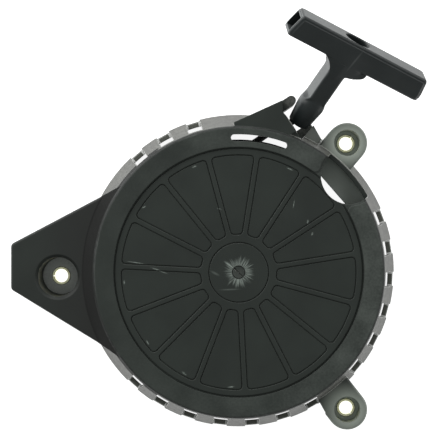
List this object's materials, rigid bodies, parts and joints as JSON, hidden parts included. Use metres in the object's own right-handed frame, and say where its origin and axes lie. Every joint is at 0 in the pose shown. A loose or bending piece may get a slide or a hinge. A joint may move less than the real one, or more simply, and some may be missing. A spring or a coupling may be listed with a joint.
{
  "type": "recoil starter",
  "caption": "Pull-cord recoil starter: a round vented housing with a bolt wing and lugs, holding a sprung rope pulley, pawls and a T-handle.",
  "frame": {"origin": "on the pulley axis, in the plane of the mounting face", "axes": "+Z along the pulley axis from the engine to the closed face, +X towards the two lugs, +Y across them towards the rope exit"},
  "size_m": [0.2091, 0.2113, 0.0522],
  "materials": {
    "housing_plastic": "moulded, fine grain, dusty",
    "grip_plastic": "moulded, satin, lightly worn",
    "pulley_plastic": "moulded, satin",
    "guide_plastic": "moulded, satin",
    "zinc_steel": "yellow zinc plated",
    "eyelet_steel": "polished by the rope",
    "screw_steel": "dull machined",
    "spring_steel": "oiled, dark",
    "pawl_steel": "zinc plated, greased",
    "rope": "braided cord"
  },
  "bodies": {
    "housing": {"housing": "housing_plastic", "sleeve_left": "zinc_steel", "sleeve_upper": "zinc_steel", "sleeve_lower": "zinc_steel", "rope_eyelet": "eyelet_steel", "centre_screw": "screw_steel", "thrust_washer": "screw_steel", "rewind_spring": "spring_steel", "rope_lead": "rope"},
    "pulley": {"pulley": "pulley_plastic", "rope_winding": "rope", "drum_knot": "rope", "pawl_spring_1": "spring_steel", "pawl_spring_2": "spring_steel"},
    "guide": {"guide_plate": "guide_plastic", "friction_spring": "spring_steel"},
    "pawl_1": {"pawl_1": "pawl_steel"},
    "pawl_2": {"pawl_2": "pawl_steel"},
    "handle": {"handle_grip": "grip_plastic", "knot_washer": "zinc_steel", "handle_knot": "rope", "rope_tail": "rope"}
  },
  "joints": [
    {"name": "pulley_spin", "type": "hinge", "parent": "housing", "child": "pulley", "pos_m": [0, 0, 0.014], "axis": [0, 0, -1], "range_deg": [0, 1080], "stiffness_Nm_per_rad": 0.02, "springref_deg": -687.55, "deforming": ["rewind_spring", "rope_lead"]},
    {"name": "handle_pull", "type": "slide", "parent": "housing", "child": "handle", "axis": [0.8261, 0.5635, 0], "range_m": [0, 0.888]},
    {"name": "guide_turn", "type": "hinge", "parent": "pulley", "child": "guide", "pos_m": [0, 0, 0.0044], "axis": [0, 0, 1], "range_deg": [0, 28], "stiffness_Nm_per_rad": 0.01},
    {"name": "pawl_1_swing", "type": "hinge", "parent": "pulley", "child": "pawl_1", "pos_m": [0.024, 0, 0.0076], "axis": [0, 0, 1], "range_deg": [0, 38.1]},
    {"name": "pawl_2_swing", "type": "hinge", "parent": "pulley", "child": "pawl_2", "pos_m": [-0.024, 0, 0.0076], "axis": [0, 0, 1], "range_deg": [0, 38.1]}
  ],
  "couplings": [
    {"joint": "handle_pull", "follows": "pulley_spin", "m_per_rad": 0.047},
    {"joint": "pawl_1_swing", "follows": "guide_turn", "ratio": 1.3571},
    {"joint": "pawl_2_swing", "follows": "guide_turn", "ratio": 1.3571}
  ]
}
